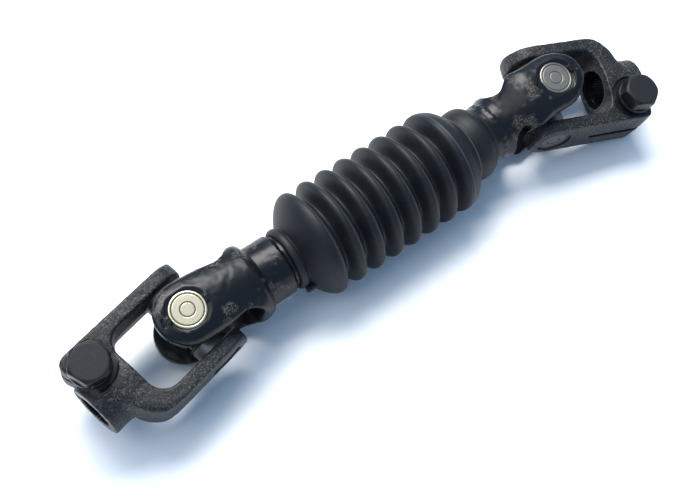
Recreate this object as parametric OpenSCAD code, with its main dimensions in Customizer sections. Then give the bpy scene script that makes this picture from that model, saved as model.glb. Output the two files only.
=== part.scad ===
// Intermediate steering shaft with a universal joint at each end.
// Every sub-part is drawn in its own simple frame and then placed by a
// named seat, so a changed size moves all that depends on it.
// Shaft frame: x runs from the lower joint to the upper joint, z along
// the bearing cups of the shaft yokes. Lengths are in millimetres.

/* [Bearings] */
// Outside diameter of a bearing cup
cup_d = 16; // [14:0.5:18]
// Length of a bearing cup
cup_l = 11.2; // [10:0.2:12]
// Thickness of a cup's side wall
cup_wall = 1; // [0.8:0.1:1.2]
// Thickness of a cup's closed end
cup_end = 1.2; // [1:0.1:1.6]
// Distance from the joint centre to a cup's closed face
cup_face = 22.7; // [21.5:0.1:24]
// Diameter of a bearing needle
needle_d = 1.95; // [1.6:0.05:2.2]
// Number of needles in a cup
needle_n = 18; // [12:1:18]
// Length of a needle
needle_l = 8.2; // [6:0.2:8.4]
// Depth of the groove rings pressed in a cup's face
ring_depth = 0.25; // [0.1:0.05:0.5]
// Radius of the outer groove ring on a cup's face
ring_r = 6.6; // [5.5:0.1:6.8]
// Radius of the small centre ring on a cup's face
dimple_r = 3.1; // [2:0.1:4]
// Thickness of a dust seal
seal_t = 1.7; // [1:0.1:1.8]

/* [Spiders] */
// Diameter of the shoulder at the root of a trunnion
shoulder_d = 13.6; // [12:0.2:15]
// Diameter of the round boss in the middle of a spider
spider_boss_d = 18; // [15:0.5:20]
// Thickness of the middle boss
spider_boss_t = 12; // [9:0.5:14]

/* [Clamp yokes] */
// Width over the two ears, at the parting line
ear_span = 49.4; // [47:0.2:54]
// Gap between the two arms
arm_gap = 33.6; // [32:0.2:35]
// Depth of the arms, along the pinch bolt
arm_depth = 26; // [24:0.5:30]
// Draft of the arms' outer faces, from the parting line to the rim
arm_draft = 1.5; // [0.5:0.1:2]
// Chamfer along the arms' rims
rim_chamfer = 1.1; // [0.5:0.1:2]
// Distance from the joint centre to the bottom of the window
window_reach = 31; // [30:0.5:34]
// Radius of the window's inner corners
window_r = 8.5; // [5:0.5:10]
// Radius of the shoulder on the side away from the bolt
shoulder_r = 17; // [12:0.5:19]
// Outside diameter of the clamping hub
hub_d = 24.8; // [23:0.2:27]
// Distance from the joint centre to the end of the hub
hub_reach = 52; // [50:0.5:58]
// Distance from the joint centre to the end of the bolt lugs
lug_reach = 50.4; // [49.5:0.1:53]
// Radius of the lugs' outer corners
lug_r = 6; // [3:0.5:8]
// Radius of the bore over the crests of its serrations
bore_r = 7.7; // [7:0.05:7.75]
// Depth of the serrations
serration_depth = 0.7; // [0.4:0.1:1]
// Number of serrations
serration_n = 36; // [24:1:48]
// Radius of the plain mouth of the bore, towards the window
mouth_r = 9.4; // [8.8:0.1:10]
// Depth of the plain mouth of the bore
mouth_depth = 4; // [2:0.5:5]
// Width of the clamping slit
slit_w = 2.6; // [2:0.1:3.5]
// Where the slit starts on the outer face of the arm
slit_start = 18; // [15:0.5:22]
// Depth of the flat cut around each cup hole of a clamp yoke
spot_d = 21; // [19:0.5:23]
// How deep a cup lies below the flat around its hole
cup_recess = 0.9; // [0.6:0.1:1.4]

/* [Pinch bolts] */
// Thread diameter
bolt_d = 10; // [9.2:0.1:10.6]
// Diameter of the waist that passes the bore
waist_d = 8.9; // [8:0.1:9]
// Distance from the bolt's axis to the axis of the hub
bolt_offset = 12.3; // [12.3:0.1:13.5]
// Distance from the joint centre to the bolt's axis, along the hub
bolt_reach = 42.2; // [41:0.1:43]
// Width across the flats of the head
head_af = 16; // [15:0.5:17]
// Height of the head
head_h = 6.9; // [6:0.1:8]
// Thickness of the lock washer
washer_t = 2.4; // [1.5:0.1:3]
// Outside diameter of the lock washer
washer_d = 17.6; // [16:0.2:18.5]
// Depth of the round flat that the lock washer seats on
seat_depth = 0.5; // [0.2:0.1:1.5]
// How far the bolt's end stands out of the tapped lug
bolt_out = 1.6; // [0.5:0.1:4]

/* [Shaft yokes] */
// Radius of an ear of a shaft yoke
fork_ear_r = 14.2; // [12.5:0.1:14.5]
// Width of a shaft yoke's arms
fork_w = 26.6; // [24:0.2:27.4]
// Radius of a shaft yoke over its ears, as it is turned
fork_r = 24.4; // [24:0.1:25]
// Half of the height over a shaft yoke's ears
fork_half = 23.6; // [23.3:0.1:24.6]
// Half of the gap between a shaft yoke's arms
fork_gap = 16.6; // [16:0.1:17.2]
// Distance from the joint centre to the bottom of the fork
throat_reach = 28.5; // [28:0.5:30]
// Radius of the fork's inner corners
throat_r = 9.5; // [6:0.5:11]
// Radius of the neck of a shaft yoke
neck_r = 13.7; // [13.4:0.1:14.2]
// Distance from the joint centre to the end of the neck
neck_reach = 46.5; // [45:0.5:48]
// Where the lower yoke begins to taper
taper_start = 4; // [0:0.5:8]
// Where the lower yoke's taper ends in its shoulder
taper_end = 29.5; // [28:0.5:31]
// Radius at the end of the lower yoke's taper
taper_r = 19.6; // [18:0.1:21]
// Length of the lower yoke's round shoulder
fork_shoulder_l = 5.5; // [4:0.5:7]
// Where the upper yoke's flare begins
flare_start = 12; // [8:0.5:14]
// Where the upper yoke's flare runs into the neck
flare_end = 36; // [33:0.5:38]
// Height of the weld beads
weld_h = 1.1; // [0.5:0.1:1.5]
// Width of the weld beads
weld_w = 3; // [2:0.2:4]

/* [Telescopic shaft] */
// Distance between the two joint centres
joint_distance = 201.5; // [190:0.5:215]
// Outside diameter of the tube
tube_d = 25.4; // [24:0.2:26.4]
// Bore of the tube beyond the splines
tube_bore_d = 19.2; // [19:0.1:20.5]
// Length of the tube
tube_l = 82; // [70:1:86]
// Length of the splined stretch in the tube
female_l = 52; // [40:1:60]
// Number of spline teeth
spline_n = 20; // [12:1:24]
// Radius of the spline at the tips of the shaft's teeth
spline_tip_r = 9; // [8.6:0.1:9.2]
// Radius of the spline at the roots of the shaft's teeth
spline_root_r = 7.9; // [7.4:0.1:8.2]
// Length of the splined shaft that is out of its yoke
spline_l = 76; // [70:1:80]
// Length of the plain shank between the splines and the yoke
shank_l = 4.5; // [3:0.5:6]
// Length of shaft or spigot seated in a neighbour
seat_l = 10; // [6:1:12]

/* [Boot] */
// Radius over the crests of the folds
crest_r = 25.4; // [23:0.1:27]
// Radius at the valleys between the folds
valley_r = 19.2; // [18:0.1:21]
// Number of folds
fold_n = 8; // [6:1:8]
// Distance from crest to crest
fold_pitch = 10.32; // [9:0.02:10.5]
// Distance from the lower joint centre to the first crest
first_crest = 64.8; // [63:0.2:66]
// Radial thickness of the rubber
boot_wall = 2.2; // [1.5:0.1:2.6]
// Where the lip begins, from the lower joint centre
lip_start = 50; // [49.8:0.1:50.6]
// Length of the lip's round bead
lip_l = 4.4; // [3:0.1:5]
// How far the lip's bead stands out of the tube
lip_h = 2.5; // [1.5:0.1:3]
// Length of the collar on the upper yoke
collar_l = 15; // [10:0.5:18]
// Radius of the collar
collar_r = 18.2; // [17:0.1:19]
// Where the collar ends, from the upper joint centre
collar_end = 37.5; // [36.6:0.1:40]
// Diameter of the moulding gate left under the first fold
gate_d = 3.4; // [2:0.1:5]

/* [Pose as laid down] */
// Roll of the shaft about its own axis
lay_roll = 16.3; // [0:0.1:30]
// Swing of the lower clamp yoke about the shaft yoke's cups
lower_swing = 12.7; // [-30:0.1:30]
// Nod of the lower clamp yoke about its own cups
lower_nod = 3.4; // [-30:0.1:30]
// Swing of the upper clamp yoke about the shaft yoke's cups
upper_swing = -20.3; // [-30:0.1:30]
// Nod of the upper clamp yoke about its own cups
upper_nod = 2.9; // [-30:0.1:30]

/* [Fits] */
// Radial gap between needles and trunnion
needle_clear = 0.03; // [0.02:0.01:0.06]
// Radial gap between needles and cup
cup_clear = 0.02; // [0.01:0.01:0.04]
// Gap at the end of a trunnion
end_clear = 0.1; // [0.05:0.05:0.3]
// Radial gap between seals and trunnion
seal_clear = 0.05; // [0.03:0.01:0.1]
// Gap between a seal and the spider's shoulder
shoulder_clear = 0.15; // [0.1:0.05:0.4]
// Radial gap of a pressed seat
press_clear = 0.01; // [0.005:0.005:0.02]
// Gap between the flanks of the splines
spline_clear = 0.06; // [0.04:0.01:0.1]
// Radial gap between the boot's collar and the upper yoke's neck
collar_clear = 0.2; // [0.1:0.05:0.4]
// Radial gap between the bolt and the hole of the upper lug
bolt_clear = 0.25; // [0.1:0.05:0.5]

/* [Hidden] */
$fn = 96;

// The four arms of a spider, as the turn that brings z onto each of them.
TOP = [0, 0, 0];
BOTTOM = [180, 0, 0];
LEFT = [-90, 0, 0];
RIGHT = [90, 0, 0];

eps = 0.01;
cup_r = cup_d / 2;
cup_in_r = cup_r - cup_wall;
cup_mouth = cup_face - cup_l;
needle_ring_r = cup_in_r - cup_clear - needle_d / 2;
trunnion_r = needle_ring_r - needle_d / 2 - needle_clear;
trunnion_reach = cup_face - cup_end - end_clear;
needle_start = trunnion_reach - needle_l - 0.3;
seal_start = cup_mouth - seal_t;
shoulder_reach = seal_start - shoulder_clear;
ear_r = arm_depth / 2;
spot_reach = cup_face + cup_recess;
bolt_r = bolt_d / 2;
seat_z = arm_depth / 2 - seat_depth;
lock_z = seat_z + washer_t;
bolt_seat_r = head_af / sqrt(3) + 1.6;
serration_r = bore_r + serration_depth;
throat_mid = throat_reach - throat_r;
shank_r = spline_tip_r + 0.1;
collar_x = joint_distance - collar_end;
tube_end = neck_reach + tube_l;
shaft_start = joint_distance - neck_reach - spline_l;
last_crest = first_crest + (fold_n - 1) * fold_pitch;
lay_z = crest_r;
lay_x = -100.09;
lay_y = 6.4;

paint = [0.06, 0.06, 0.07];
plated = [0.78, 0.76, 0.68];
steel = [0.62, 0.63, 0.65];
rubber = [0.12, 0.12, 0.13];

// Seats of the moving groups. The whole shaft lies on its boot.
module laid() {
  translate([lay_x, lay_y, lay_z]) rotate([lay_roll, 0, 0]) children();
}

module at_lower_spider() {
  laid() rotate([0, 0, lower_swing]) children();
}

module at_lower_yoke() {
  at_lower_spider() rotate([0, lower_nod, 0]) children();
}

module at_upper_shaft() {
  laid() translate([joint_distance, 0, 0]) children();
}

module at_upper_spider() {
  at_upper_shaft() rotate([0, 0, upper_swing]) children();
}

module at_upper_yoke() {
  at_upper_spider() rotate([0, upper_nod, 0]) children();
}

// A ring along z with an inner and an outer radius.
module ring(inner, outer, height) {
  difference() {
    cylinder(r = outer, h = height);
    translate([0, 0, -eps]) cylinder(r = inner, h = height + 2 * eps);
  }
}

// Bearing cup along z: a drawn shell with a turned-in mouth and two
// shallow rings pressed in its closed face.
module cup() {
  color(plated)
    rotate_extrude()
      polygon([
        [0, cup_face - cup_end], [cup_in_r, cup_face - cup_end],
        [cup_in_r, cup_mouth], [cup_r - 0.4, cup_mouth], [cup_r, cup_mouth + 0.6],
        [cup_r, cup_face - 0.5], [cup_r - 0.5, cup_face],
        [ring_r + 0.3, cup_face], [ring_r, cup_face - ring_depth],
        [ring_r - 0.3, cup_face - ring_depth / 2],
        [dimple_r + 0.3, cup_face - ring_depth / 2], [dimple_r, cup_face - ring_depth],
        [dimple_r - 0.3, cup_face - ring_depth / 4], [0, cup_face - ring_depth / 4]
      ]);
}

// The loose needles between a cup and its trunnion, as a full ring.
module needles() {
  color(steel)
    for (i = [0 : needle_n - 1])
      rotate([0, 0, i * 360 / needle_n])
        translate([needle_ring_r, 0, needle_start])
          cylinder(d = needle_d, h = needle_l, $fn = 24);
}

// Dust seal: a rubber washer between the cup's mouth and the shoulder.
module seal() {
  color(rubber)
    rotate_extrude()
      polygon([
        [trunnion_r + seal_clear, seal_start], [cup_r - 1, seal_start],
        [cup_r - 0.2, seal_start + 0.8], [cup_r - 0.2, cup_mouth],
        [trunnion_r + seal_clear, cup_mouth]
      ]);
}

// One trunnion along z, with its shoulder and a chamfered end.
module trunnion() {
  rotate_extrude()
    polygon([
      [0, 0], [shoulder_d / 2, 0], [shoulder_d / 2, shoulder_reach - 0.6],
      [shoulder_d / 2 - 0.6, shoulder_reach], [trunnion_r, shoulder_reach],
      [trunnion_r, trunnion_reach - 0.8], [trunnion_r - 0.8, trunnion_reach],
      [0, trunnion_reach]
    ]);
}

// Forged spider: four trunnions around a round boss.
module spider() {
  color(paint) {
    for (turn = [TOP, BOTTOM, LEFT, RIGHT]) rotate(turn) trunnion();
    rotate([0, 90, 0]) cylinder(d = spider_boss_d, h = spider_boss_t, center = true);
  }
}

// Four staked lips along z that hold a cup in its ear. They are drawn
// over the rim of the hole, at the height of the cup's face.
module stakes(height) {
  for (turn = [0 : 90 : 270])
    rotate([0, 0, turn])
      translate([cup_r - 0.7, -1.3, cup_face + eps])
        cube([1.4, 2.6, height]);
}

// The dents that the staking tool leaves behind each lip.
module stake_dents(face) {
  for (turn = [0 : 90 : 270])
    rotate([0, 0, turn])
      translate([cup_r + 0.5, -0.9, face - 0.5])
        cube([1.3, 1.8, 2]);
}

// Outline of a clamp yoke seen along its bolt. The lugs are on the
// negative y side and the rounded shoulder is on the other.
module clamp_plan() {
  half = ear_span / 2;
  hull() {
    translate([-ear_r, -half]) square([ear_r + window_reach - shoulder_r / 2, ear_span]);
    translate([window_reach + 10.5 - shoulder_r, half - shoulder_r]) circle(r = shoulder_r);
    translate([lug_reach - lug_r, lug_r - half]) circle(r = lug_r);
  }
}

// Cross-section of the arms, with the draft of the forging and its rims.
module clamp_section() {
  deep = arm_depth / 2;
  half = ear_span / 2;
  drafted = half - arm_draft;
  rim = drafted - rim_chamfer;
  polygon([
    [half, 0], [drafted, deep - rim_chamfer], [rim, deep],
    [-rim, deep], [-drafted, deep - rim_chamfer], [-half, 0],
    [-drafted, rim_chamfer - deep], [-rim, -deep],
    [rim, -deep], [drafted, rim_chamfer - deep]
  ]);
}

// Outline of a clamp yoke seen along its cups, with round ear ends.
module clamp_side() {
  circle(r = ear_r);
  translate([0, -ear_r]) square([hub_reach, arm_depth]);
}

// The forging before it is machined: where its three outlines meet.
module clamp_forging() {
  intersection() {
    linear_extrude(height = arm_depth, center = true) clamp_plan();
    translate([-ear_r, 0, 0]) rotate([90, 0, 90])
      linear_extrude(height = ear_r + hub_reach) clamp_section();
    rotate([90, 0, 0]) linear_extrude(height = ear_span, center = true) clamp_side();
  }
  rotate([0, 90, 0])
    rotate_extrude()
      polygon([
        [0, window_reach - 2], [hub_d / 2, window_reach - 2],
        [hub_d / 2, hub_reach - 0.8], [hub_d / 2 - 0.8, hub_reach], [0, hub_reach]
      ]);
}

// Window between the arms, open at the ears and round at the bottom.
module clamp_window() {
  linear_extrude(height = arm_depth + 2, center = true)
    hull() {
      translate([-ear_r - 1, -arm_gap / 2]) square([ear_r + 2, arm_gap]);
      for (side = [-1, 1])
        translate([window_reach - window_r, side * (arm_gap / 2 - window_r)])
          circle(r = window_r);
    }
}

// Serrated bore: a round bore with a ring of sharp grooves.
module serrated_bore() {
  rotate([0, 90, 0])
    linear_extrude(height = hub_reach + 1)
      union() {
        circle(r = bore_r);
        for (i = [0 : serration_n - 1])
          rotate(i * 360 / serration_n)
            polygon([
              [bore_r - 0.3, -0.34], [serration_r, -0.06],
              [serration_r, 0.06], [bore_r - 0.3, 0.34]
            ]);
      }
}

// Clamping slit: sawn from the hub's end through the bolt's side.
module clamp_slit() {
  outside = -ear_span / 2 - 1;
  linear_extrude(height = slit_w, center = true)
    polygon([
      [slit_start, outside], [window_reach - 1, -hub_d / 2], [window_reach - 1, 0],
      [hub_reach + 1, 0], [hub_reach + 1, outside]
    ]);
}

// Cuts for the pinch bolt: clearance hole above, tapped hole below.
module bolt_cuts() {
  translate([bolt_reach, -bolt_offset, 0]) {
    cylinder(r = bolt_r + bolt_clear, h = arm_depth);
    translate([0, 0, -arm_depth]) cylinder(r = bolt_r + press_clear, h = arm_depth + eps);
    translate([0, 0, seat_z]) cylinder(r = bolt_seat_r, h = seat_depth + 5);
  }
}

// Forged and machined clamp yoke. x points out along the hub, y along
// the ear pins and z along the bolt, towards its head.
module clamp_yoke() {
  color(paint) {
    difference() {
      clamp_forging();
      clamp_window();
      serrated_bore();
      rotate([0, 90, 0]) cylinder(r = mouth_r, h = window_reach + mouth_depth);
      translate([hub_reach - 1, 0, 0]) rotate([0, 90, 0])
        cylinder(r1 = bore_r, r2 = bore_r + 1.4, h = 1 + eps);
      clamp_slit();
      bolt_cuts();
      for (turn = [LEFT, RIGHT]) rotate(turn) {
        cylinder(r = cup_r + press_clear, h = ear_span);
        translate([0, 0, spot_reach]) cylinder(d = spot_d, h = 5);
        stake_dents(spot_reach);
      }
    }
    for (turn = [LEFT, RIGHT]) rotate(turn) stakes(cup_recess - 0.2);
  }
}

// Hexagon bolt with a waist that passes beside the bore. It is drawn on
// its own axis, at the height where it sits in the lugs.
module pinch_bolt() {
  foot = -arm_depth / 2 - bolt_out;
  corner_r = head_af / sqrt(3);
  color(paint) {
    rotate_extrude()
      polygon([
        [0, foot], [bolt_r - 1, foot], [bolt_r, foot + 1], [bolt_r, -bore_r - 1.4],
        [waist_d / 2, -bore_r - 1], [waist_d / 2, bore_r + 1],
        [bolt_r, bore_r + 1.4], [bolt_r, lock_z], [0, lock_z]
      ]);
    translate([0, 0, lock_z])
      intersection() {
        rotate([0, 0, 30]) cylinder(r = corner_r, h = head_h, $fn = 6);
        rotate_extrude()
          polygon([
            [0, 0], [corner_r, 0], [corner_r, head_h - 1], [head_af / 2 - 0.4, head_h],
            [0, head_h]
          ]);
      }
  }
}

// Split lock washer on the bolt's axis, under the head.
module lock_washer() {
  color(paint)
    difference() {
      translate([0, 0, seat_z]) ring(bolt_r + bolt_clear, washer_d / 2, washer_t);
      rotate([0, 0, 50]) translate([bolt_r - 1, -0.6, seat_z - 1])
        cube([washer_d, 1.2, washer_t + 2]);
    }
}

// Outline of a shaft yoke seen along its cups.
module fork_plan(reach) {
  circle(r = fork_ear_r);
  translate([0, -fork_w / 2]) square([reach, fork_w]);
}

// Opening of the fork seen from the side, round at the bottom.
module fork_opening() {
  rotate([90, 0, 0])
    linear_extrude(height = 4 * neck_r, center = true)
      hull() {
        translate([-fork_ear_r - 1, -fork_gap]) square([fork_ear_r, 2 * fork_gap]);
        for (side = [-1, 1])
          translate([throat_mid, side * (fork_gap - throat_r)]) circle(r = throat_r);
      }
}

// Turned outsides that bring the fork's arms down to the neck. The
// lower one tapers to a round shoulder and the upper one flares.
module lower_outside() {
  steps = 6;
  end = taper_end + fork_shoulder_l;
  rotate([0, 90, 0])
    rotate_extrude()
      polygon(concat(
        [[0, -fork_ear_r - 1], [fork_r, -fork_ear_r - 1], [fork_r, taper_start]],
        [for (i = [0 : steps])
          [neck_r + (taper_r - neck_r) * cos(i * 90 / steps),
           taper_end + fork_shoulder_l * sin(i * 90 / steps)]],
        [[0, end]]
      ));
}

module upper_outside() {
  steps = 10;
  rotate([0, 90, 0])
    rotate_extrude()
      polygon(concat(
        [[0, -fork_ear_r - 1], [fork_r, -fork_ear_r - 1]],
        [for (i = [0 : steps])
          let (t = i / steps)
          [fork_r - (fork_r - neck_r) * t * t * (3 - 2 * t),
           flare_start + (flare_end - flare_start) * t]],
        [[0, flare_end]]
      ));
}

// Round weld bead around the x axis.
module weld_bead(radius, place) {
  rotate([0, 90, 0])
    rotate_extrude()
      polygon([
        [radius - 1, place - weld_w / 2], [radius, place - weld_w / 2],
        [radius + weld_h * 0.8, place - weld_w / 4], [radius + weld_h, place],
        [radius + weld_h * 0.8, place + weld_w / 4], [radius, place + weld_w / 2],
        [radius - 1, place + weld_w / 2]
      ]);
}

// Forged shaft yoke, x towards the shaft and z along its cups. The
// children are the envelope that blends its arms into the neck.
module shaft_yoke(reach) {
  difference() {
    union() {
      intersection() {
        linear_extrude(height = 2 * fork_half, center = true) fork_plan(reach);
        children();
      }
      translate([throat_reach, 0, 0]) rotate([0, 90, 0])
        cylinder(r = neck_r, h = neck_reach - throat_reach);
    }
    fork_opening();
    for (turn = [TOP, BOTTOM]) rotate(turn) {
      cylinder(r = cup_r + press_clear, h = 2 * fork_half);
      stake_dents(fork_half);
    }
  }
  for (turn = [TOP, BOTTOM]) rotate(turn) stakes(fork_half - cup_face - 0.2);
}

// Profile of the splines, wider by a gap all round for the tube.
module spline_profile(gap) {
  step = 360 / spline_n;
  tooth = step * 0.27;
  root = spline_root_r + gap;
  tip = spline_tip_r + gap;
  side = gap * 180 / (PI * spline_tip_r);
  polygon([
    for (i = [0 : spline_n - 1], k = [0 : 3])
      let (
        r = (k == 0 || k == 3) ? root : tip,
        turn = i * step + [-tooth, -tooth * 0.62, tooth * 0.62, tooth][k]
          + (k < 2 ? -side : side)
      )
      [r * cos(turn), r * sin(turn)]
  ]);
}

// Height of the boot's outer skin over the x axis within the folds.
// Crests are broad and valleys narrow, as on a moulded bellows.
function fold_radius(phase) =
  valley_r + (crest_r - valley_r) * (1 - pow(abs(sin(180 * phase)), 3));

fold_steps = 12;

// Outer skin of the boot from its lip to its collar, as [x, radius].
function boot_skin() = concat(
  [for (i = [0 : 6])
    let (turn = i * 30)
    [lip_start + lip_l / 2 * (1 - cos(turn)), tube_d / 2 + 1 + (lip_h - 1) * sin(turn)]],
  [[lip_start + lip_l + 0.6, tube_d / 2 + 1.5],
   [first_crest - 4.4, crest_r - 3.4], [first_crest - 2.6, crest_r - 0.9]],
  [for (i = [0 : (fold_n - 1) * fold_steps])
    [first_crest + i * fold_pitch / fold_steps, fold_radius(i / fold_steps)]],
  [[last_crest + 2.8, crest_r - 1], [last_crest + 5.6, crest_r - 3.4],
   [last_crest + 8.6, collar_r + 1.2], [collar_x - collar_l + 3, collar_r],
   [collar_x - 6, collar_r], [collar_x - 3.4, collar_r - 0.9],
   [collar_x - 2, collar_r - 2.4], [collar_x, neck_r + 1.2]]
);

// Inner skin: the tube's seat, the hollow folds and the collar's seat.
function boot_inside() = concat(
  [[lip_start + lip_l + 2, tube_d / 2 + press_clear]],
  [[first_crest - 2.6, crest_r - 0.9 - boot_wall]],
  [for (i = [0 : (fold_n - 1) * fold_steps])
    [first_crest + i * fold_pitch / fold_steps, fold_radius(i / fold_steps) - boot_wall]],
  [[last_crest + 4.4, crest_r - 3.4 - boot_wall],
   [collar_x - collar_l, neck_r + collar_clear]]
);

// Moulded rubber boot around the telescopic shaft.
module boot() {
  inside = boot_inside();
  reversed = [for (i = [len(inside) - 1 : -1 : 0]) inside[i]];
  section = concat(
    [[lip_start, tube_d / 2 + press_clear]],
    boot_skin(),
    [[collar_x, neck_r + collar_clear]],
    reversed
  );
  color(rubber) {
    rotate([0, 90, 0]) rotate_extrude() polygon([for (p = section) [p[1], p[0]]]);
    rotate([45, 0, 0])
      translate([lip_start + lip_l + gate_d / 2 + 0.6, 0, -tube_d / 2 - gate_d])
        cylinder(d = gate_d, h = gate_d - 0.5);
  }
}

module splined_tube() {
  color(paint)
    laid()
      difference() {
        translate([neck_reach, 0, 0]) rotate([0, 90, 0]) cylinder(d = tube_d, h = tube_l);
        translate([neck_reach - 1, 0, 0]) rotate([0, 90, 0])
          cylinder(d = tube_bore_d, h = tube_l - female_l + 1);
        translate([tube_end - female_l - 1, 0, 0]) rotate([0, 90, 0])
          linear_extrude(height = female_l + 2) spline_profile(spline_clear);
      }
}

module splined_shaft() {
  color(steel)
    laid()
      union() {
        translate([shaft_start, 0, 0]) rotate([0, 90, 0])
          linear_extrude(height = spline_l - shank_l) spline_profile(0);
        translate([shaft_start, 0, 0]) rotate([0, 90, 0])
          cylinder(r = spline_root_r - 0.1, h = spline_l + seat_l);
        translate([shaft_start + spline_l - shank_l, 0, 0]) rotate([0, 90, 0])
          cylinder(r = shank_r, h = shank_l + seat_l);
      }
}

module lower_shaft_yoke() {
  color(paint)
    laid() {
      shaft_yoke(taper_end + fork_shoulder_l) lower_outside();
      translate([neck_reach - 1, 0, 0]) rotate([0, 90, 0])
        cylinder(r = tube_bore_d / 2 - press_clear, h = seat_l + 1);
      difference() {
        weld_bead(neck_r - 1, neck_reach + 0.4);
        translate([neck_reach, 0, 0]) rotate([0, 90, 0])
          cylinder(d = tube_d + 2 * press_clear, h = weld_w);
      }
    }
}

module upper_shaft_yoke() {
  color(paint)
    at_upper_shaft() rotate([0, 0, 180])
      difference() {
        union() {
          shaft_yoke(flare_end) upper_outside();
          weld_bead(neck_r, flare_end - weld_w / 2);
        }
        translate([neck_reach - seat_l, 0, 0]) rotate([0, 90, 0])
          cylinder(r = shank_r + press_clear, h = seat_l + 1);
      }
}

module lower_clamp_yoke() {
  at_lower_yoke() rotate([0, 0, 180]) clamp_yoke();
}

module upper_clamp_yoke() {
  at_upper_yoke() clamp_yoke();
}

module on_bolt_axis() {
  translate([bolt_reach, -bolt_offset, 0]) children();
}

module lower_pinch_bolt() {
  at_lower_yoke() rotate([0, 0, 180]) on_bolt_axis() rotate([0, 0, 12]) pinch_bolt();
}

module lower_lock_washer() {
  at_lower_yoke() rotate([0, 0, 180]) on_bolt_axis() lock_washer();
}

module upper_pinch_bolt() {
  at_upper_yoke() on_bolt_axis() rotate([0, 0, 24]) pinch_bolt();
}

module upper_lock_washer() {
  at_upper_yoke() on_bolt_axis() lock_washer();
}

module laid_boot() {
  laid() boot();
}

lower_clamp_yoke();
lower_pinch_bolt();
lower_lock_washer();
at_lower_spider() spider();  // lower_spider
laid() cup();  // lower_cup_top
laid() rotate(BOTTOM) cup();  // lower_cup_bottom
at_lower_yoke() rotate(LEFT) cup();  // lower_cup_left
at_lower_yoke() rotate(RIGHT) cup();  // lower_cup_right
laid() needles();  // lower_needles_top
laid() rotate(BOTTOM) needles();  // lower_needles_bottom
at_lower_yoke() rotate(LEFT) needles();  // lower_needles_left
at_lower_yoke() rotate(RIGHT) needles();  // lower_needles_right
laid() seal();  // lower_seal_top
laid() rotate(BOTTOM) seal();  // lower_seal_bottom
at_lower_yoke() rotate(LEFT) seal();  // lower_seal_left
at_lower_yoke() rotate(RIGHT) seal();  // lower_seal_right
lower_shaft_yoke();
splined_tube();
laid_boot();  // boot
splined_shaft();
upper_shaft_yoke();
upper_clamp_yoke();
upper_pinch_bolt();
upper_lock_washer();
at_upper_spider() spider();  // upper_spider
at_upper_shaft() cup();  // upper_cup_top
at_upper_shaft() rotate(BOTTOM) cup();  // upper_cup_bottom
at_upper_yoke() rotate(LEFT) cup();  // upper_cup_left
at_upper_yoke() rotate(RIGHT) cup();  // upper_cup_right
at_upper_shaft() needles();  // upper_needles_top
at_upper_shaft() rotate(BOTTOM) needles();  // upper_needles_bottom
at_upper_yoke() rotate(LEFT) needles();  // upper_needles_left
at_upper_yoke() rotate(RIGHT) needles();  // upper_needles_right
at_upper_shaft() seal();  // upper_seal_top
at_upper_shaft() rotate(BOTTOM) seal();  // upper_seal_bottom
at_upper_yoke() rotate(LEFT) seal();  // upper_seal_left
at_upper_yoke() rotate(RIGHT) seal();  // upper_seal_right
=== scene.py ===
import math

import bpy
import numpy as np
from mathutils import Matrix, Vector


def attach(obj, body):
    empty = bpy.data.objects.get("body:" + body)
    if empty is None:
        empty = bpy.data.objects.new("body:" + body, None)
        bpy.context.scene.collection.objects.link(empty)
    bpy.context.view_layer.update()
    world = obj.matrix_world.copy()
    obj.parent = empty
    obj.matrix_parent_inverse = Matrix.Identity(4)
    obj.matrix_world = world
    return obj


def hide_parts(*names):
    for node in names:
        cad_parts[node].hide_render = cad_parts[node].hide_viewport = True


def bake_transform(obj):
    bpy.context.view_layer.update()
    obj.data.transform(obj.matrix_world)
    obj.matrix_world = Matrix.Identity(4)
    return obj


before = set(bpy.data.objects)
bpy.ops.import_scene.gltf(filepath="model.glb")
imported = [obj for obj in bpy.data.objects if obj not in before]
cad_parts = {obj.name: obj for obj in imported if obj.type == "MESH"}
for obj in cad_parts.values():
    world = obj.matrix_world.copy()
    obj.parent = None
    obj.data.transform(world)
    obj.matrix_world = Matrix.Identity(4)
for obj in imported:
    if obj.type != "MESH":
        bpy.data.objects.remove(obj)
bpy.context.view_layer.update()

MM = 0.001

# Places from the part's source: the shaft lies rolled about its own
# axis, and each clamp yoke is swung and nodded on its spider.
LAY_ROLL = 16.3
LAY_AT = (-100.09, 6.40, 25.4)
JOINT_DISTANCE = 201.5
SWING = {"lower": 12.7, "upper": -20.3}
NOD = {"lower": 3.4, "upper": 2.9}
ENDS = ("lower", "upper")


def turn(axis, degrees):
    return Matrix.Rotation(math.radians(degrees), 4, axis)


def shift(x, y, z):
    return Matrix.Translation(Vector((x, y, z)))


# All of these work in millimetres; a mesh goes to metres when it is made.
LAID = shift(*LAY_AT) @ turn("X", LAY_ROLL)
JOINT = {"lower": LAID, "upper": LAID @ shift(JOINT_DISTANCE, 0, 0)}
SPIDER = {end: JOINT[end] @ turn("Z", SWING[end]) for end in ENDS}
YOKE = {end: SPIDER[end] @ turn("Y", NOD[end]) for end in ENDS}
CLAMP = {"lower": YOKE["lower"] @ turn("Z", 180), "upper": YOKE["upper"]}
FORK = {"lower": JOINT["lower"], "upper": JOINT["upper"] @ turn("Z", 180)}
ARM = {
    "top": Matrix.Identity(4),
    "bottom": turn("X", 180),
    "left": turn("X", -90),
    "right": turn("X", 90),
}


def cup_seat(end, arm):
    """Where the cup on one arm of a spider sits, its axis along z."""
    return (JOINT if arm in ("top", "bottom") else YOKE)[end] @ ARM[arm]


def body_of_cup(end, arm):
    return end + ("_shaft" if arm in ("top", "bottom") else "_clamp")


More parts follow.
